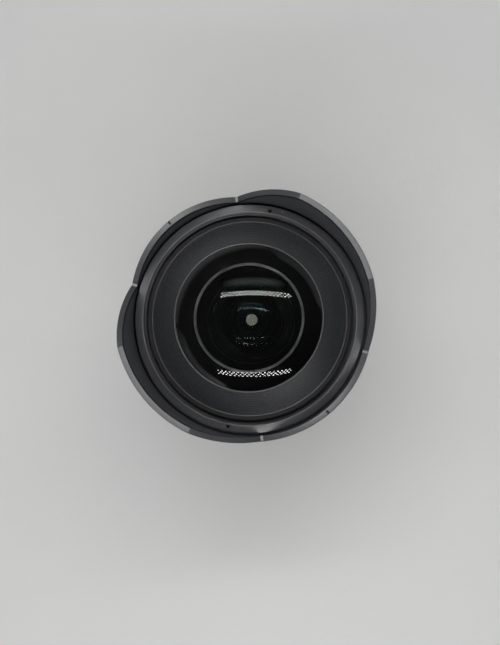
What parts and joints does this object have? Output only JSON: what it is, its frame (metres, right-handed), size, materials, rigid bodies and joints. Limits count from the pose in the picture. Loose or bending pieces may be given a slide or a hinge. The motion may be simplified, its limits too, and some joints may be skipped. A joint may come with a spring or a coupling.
{
  "type": "ultra wide-angle camera lens",
  "caption": "Black ultra wide-angle camera lens with a fixed petal hood, bulging front glass, ribbed focus ring, aperture ring and a rear bayonet.",
  "frame": {"origin": "centre of the rear rim, in the plane that the lens stands on", "axes": "+Z along the lens axis towards the front glass; +Y to the top of the picture (a large petal); +X to a small petal"},
  "size_m": [0.085, 0.0874, 0.0985],
  "materials": {
    "barrel_black": "fine satin black paint over aluminium",
    "hood_black": "matte black moulding",
    "rim_black": "satin black anodised aluminium",
    "bezel_black": "black, finely ridged",
    "inner_black": "flat black anodised aluminium",
    "baffle_black": "flat black plastic",
    "mount_metal": "hard chrome plate on brass, finely turned",
    "screw_steel": "plain steel",
    "nut_brass": "turned brass, greased",
    "grip_rubber": "ribbed black rubber",
    "inner_aluminium": "turned aluminium",
    "front_glass": "coated optical glass with green and magenta reflections",
    "inner_glass": "coated optical glass",
    "rear_glass": "coated optical glass",
    "blade_steel": "blackened spring steel",
    "bead_white": "white bead"
  },
  "bodies": {
    "barrel": {"bayonet_mount": "mount_metal", "mount_screws": "screw_steel", "rear_baffle": "baffle_black", "index_bead": "bead_white", "rear_barrel": "barrel_black", "main_sleeve": "inner_aluminium", "sleeve_screws": "screw_steel", "guide_key": "screw_steel", "click_ball": "screw_steel", "click_spring": "screw_steel", "scale_ring": "barrel_black", "grub_screws": "screw_steel", "nut_retainer": "inner_aluminium", "front_barrel": "barrel_black", "hood_screws": "screw_steel", "lens_hood": "hood_black"},
    "focus_control": {"focus_ring": "barrel_black", "focus_grip": "grip_rubber", "helicoid_nut": "nut_brass", "focus_drive_pins": "screw_steel"},
    "lens_block": {"lens_carriage": "inner_aluminium", "front_rim_ring": "rim_black", "front_bezel": "bezel_black", "front_cell": "inner_black", "front_element": "front_glass", "second_element": "inner_glass", "second_retainer": "inner_black", "third_element": "inner_glass", "front_spacer": "inner_black", "fourth_element": "inner_glass", "front_group_retainer": "inner_black", "iris_spacer": "inner_black", "iris_housing": "inner_black", "iris_retainer": "screw_steel", "rear_cell": "inner_black", "fifth_element": "inner_glass", "rear_spacer": "inner_black", "sixth_element": "inner_glass", "rear_group_retainer": "inner_black", "rear_element": "rear_glass", "rear_element_retainer": "inner_black"},
    "aperture_control": {"aperture_ring": "barrel_black", "aperture_drive_pin": "screw_steel"},
    "iris_cam": {"iris_cam_ring": "inner_black"},
    "iris_blade_1": {"iris_blade_1": "blade_steel"},
    "iris_blade_2": {"iris_blade_2": "blade_steel"},
    "iris_blade_3": {"iris_blade_3": "blade_steel"},
    "iris_blade_4": {"iris_blade_4": "blade_steel"},
    "iris_blade_5": {"iris_blade_5": "blade_steel"},
    "iris_blade_6": {"iris_blade_6": "blade_steel"},
    "iris_blade_7": {"iris_blade_7": "blade_steel"}
  },
  "joints": [
    {"name": "focus_turn", "type": "hinge", "parent": "barrel", "child": "focus_control", "pos_m": [0, 0, 0.0506], "axis": [0, 0, 1], "range_deg": [0, 110]},
    {"name": "focus_travel", "type": "slide", "parent": "barrel", "child": "lens_block", "axis": [0, 0, 1], "range_m": [0, 0.0018]},
    {"name": "aperture_turn", "type": "hinge", "parent": "barrel", "child": "aperture_control", "pos_m": [0, 0, 0.0286], "axis": [0, 0, 1], "range_deg": [0, 40]},
    {"name": "iris_cam_turn", "type": "hinge", "parent": "lens_block", "child": "iris_cam", "pos_m": [0, 0, 0.032], "axis": [0, 0, 1], "range_deg": [0, 40]},
    {"name": "iris_blade_1_swing", "type": "hinge", "parent": "lens_block", "child": "iris_blade_1", "pos_m": [0.018, 0, 0.034], "axis": [0, 0, 1], "range_deg": [0, 25.68]},
    {"name": "iris_blade_2_swing", "type": "hinge", "parent": "lens_block", "child": "iris_blade_2", "pos_m": [0.01122, 0.01407, 0.034], "axis": [0, 0, 1], "range_deg": [0, 25.68]},
    {"name": "iris_blade_3_swing", "type": "hinge", "parent": "lens_block", "child": "iris_blade_3", "pos_m": [-0.00401, 0.01755, 0.034], "axis": [0, 0, 1], "range_deg": [0, 25.68]},
    {"name": "iris_blade_4_swing", "type": "hinge", "parent": "lens_block", "child": "iris_blade_4", "pos_m": [-0.01622, 0.00781, 0.034], "axis": [0, 0, 1], "range_deg": [0, 25.68]},
    {"name": "iris_blade_5_swing", "type": "hinge", "parent": "lens_block", "child": "iris_blade_5", "pos_m": [-0.01622, -0.00781, 0.034], "axis": [0, 0, 1], "range_deg": [0, 25.68]},
    {"name": "iris_blade_6_swing", "type": "hinge", "parent": "lens_block", "child": "iris_blade_6", "pos_m": [-0.00401, -0.01755, 0.034], "axis": [0, 0, 1], "range_deg": [0, 25.68]},
    {"name": "iris_blade_7_swing", "type": "hinge", "parent": "lens_block", "child": "iris_blade_7", "pos_m": [0.01122, -0.01407, 0.034], "axis": [0, 0, 1], "range_deg": [0, 25.68]}
  ],
  "couplings": [
    {"joint": "focus_travel", "follows": "focus_turn", "m_per_rad": 0.00093757},
    {"joint": "iris_cam_turn", "follows": "aperture_turn", "ratio": 1},
    {"joint": "iris_blade_1_swing", "follows": "aperture_turn", "ratio": 0.64198},
    {"joint": "iris_blade_2_swing", "follows": "aperture_turn", "ratio": 0.64198},
    {"joint": "iris_blade_3_swing", "follows": "aperture_turn", "ratio": 0.64198},
    {"joint": "iris_blade_4_swing", "follows": "aperture_turn", "ratio": 0.64198},
    {"joint": "iris_blade_5_swing", "follows": "aperture_turn", "ratio": 0.64198},
    {"joint": "iris_blade_6_swing", "follows": "aperture_turn", "ratio": 0.64198},
    {"joint": "iris_blade_7_swing", "follows": "aperture_turn", "ratio": 0.64198}
  ]
}
